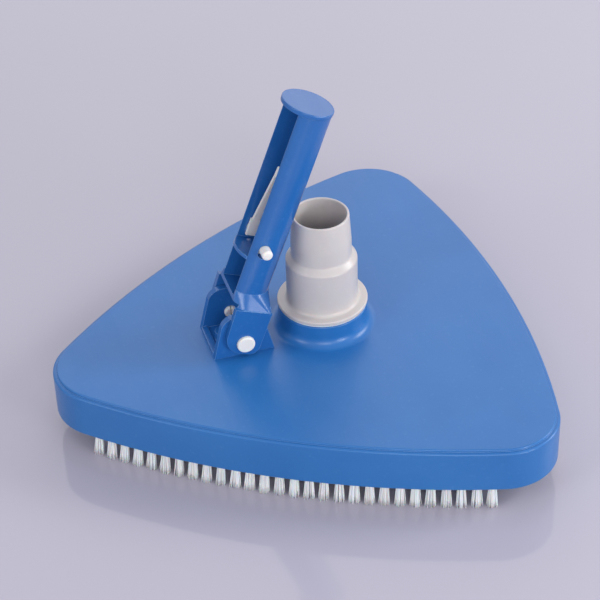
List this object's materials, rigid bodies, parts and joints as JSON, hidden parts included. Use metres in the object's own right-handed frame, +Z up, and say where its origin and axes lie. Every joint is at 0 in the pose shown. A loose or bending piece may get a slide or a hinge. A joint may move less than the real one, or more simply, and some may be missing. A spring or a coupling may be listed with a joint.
{
  "type": "manual pool vacuum head",
  "caption": "Weighted rounded-triangle pool vacuum head with bristle rows underneath, a stepped swivelling hose connector and a tilting pole handle with a spring clip.",
  "frame": {"origin": "centre of the footprint, on the plane of the bristle tips", "axes": "+Z up, along the hose connector's axis; the nose corner points along -X; +Y across the head, which mirrors across the plane y = 0"},
  "size_m": [0.2476, 0.2626, 0.1775],
  "materials": {
    "shell_blue": "injection moulded ABS, satin top with faint moulding waves",
    "handle_blue": "injection moulded ABS, semi-gloss",
    "brush_plate_blue": "injection moulded ABS, semi-gloss",
    "connector_white": "moulded white plastic, semi-gloss",
    "pin_white": "moulded nylon, semi-gloss",
    "clip_white": "moulded acetal, semi-gloss",
    "bristle_white": "nylon bristle tufts",
    "washer_white": "smooth sliding washer",
    "anchor_steel": "flat stainless wire",
    "screw_steel": "stainless self-tapping screws",
    "weight_iron": "painted cast iron"
  },
  "bodies": {
    "head": {"top_shell": "shell_blue", "brush_plate": "brush_plate_blue", "handle_bracket": "handle_blue", "pivot_pin_left": "pin_white", "pivot_pin_right": "pin_white", "swivel_washer": "washer_white", "weight_nose": "weight_iron", "weight_left": "weight_iron", "weight_right": "weight_iron", "bristle_tufts_left": "bristle_white", "bristle_tufts_right": "bristle_white", "bristle_tufts_rear": "bristle_white", "tuft_anchors": "anchor_steel", "shell_screws": "screw_steel", "bracket_screws": "screw_steel"},
    "handle": {"handle": "handle_blue", "clip_bow": "clip_white"},
    "clip_arm_left": {"clip_arm_left": "clip_white"},
    "clip_arm_right": {"clip_arm_right": "clip_white"},
    "hose": {"hose_connector": "connector_white", "retaining_ring": "pin_white"}
  },
  "joints": [
    {"name": "handle_tilt", "type": "hinge", "parent": "head", "child": "handle", "pos_m": [-0.0258, 0, 0.047], "axis": [0, 1, 0], "range_deg": [-75, 0]},
    {"name": "hose_swivel", "type": "hinge", "parent": "head", "child": "hose", "pos_m": [0.0216, 0, 0.05], "axis": [0, 0, 1], "continuous": true},
    {"name": "clip_left", "type": "hinge", "parent": "handle", "child": "clip_arm_left", "pos_m": [0.00064, -0.00135, 0.13268], "axis": [0.9361, 0, -0.3518], "range_deg": [0, 8.5], "stiffness_Nm_per_rad": 0.6, "springref_deg": -2.86},
    {"name": "clip_right", "type": "hinge", "parent": "handle", "child": "clip_arm_right", "pos_m": [0.00064, 0.00135, 0.13268], "axis": [-0.9361, 0, 0.3518], "range_deg": [0, 8.5], "stiffness_Nm_per_rad": 0.6, "springref_deg": -2.86}
  ]
}
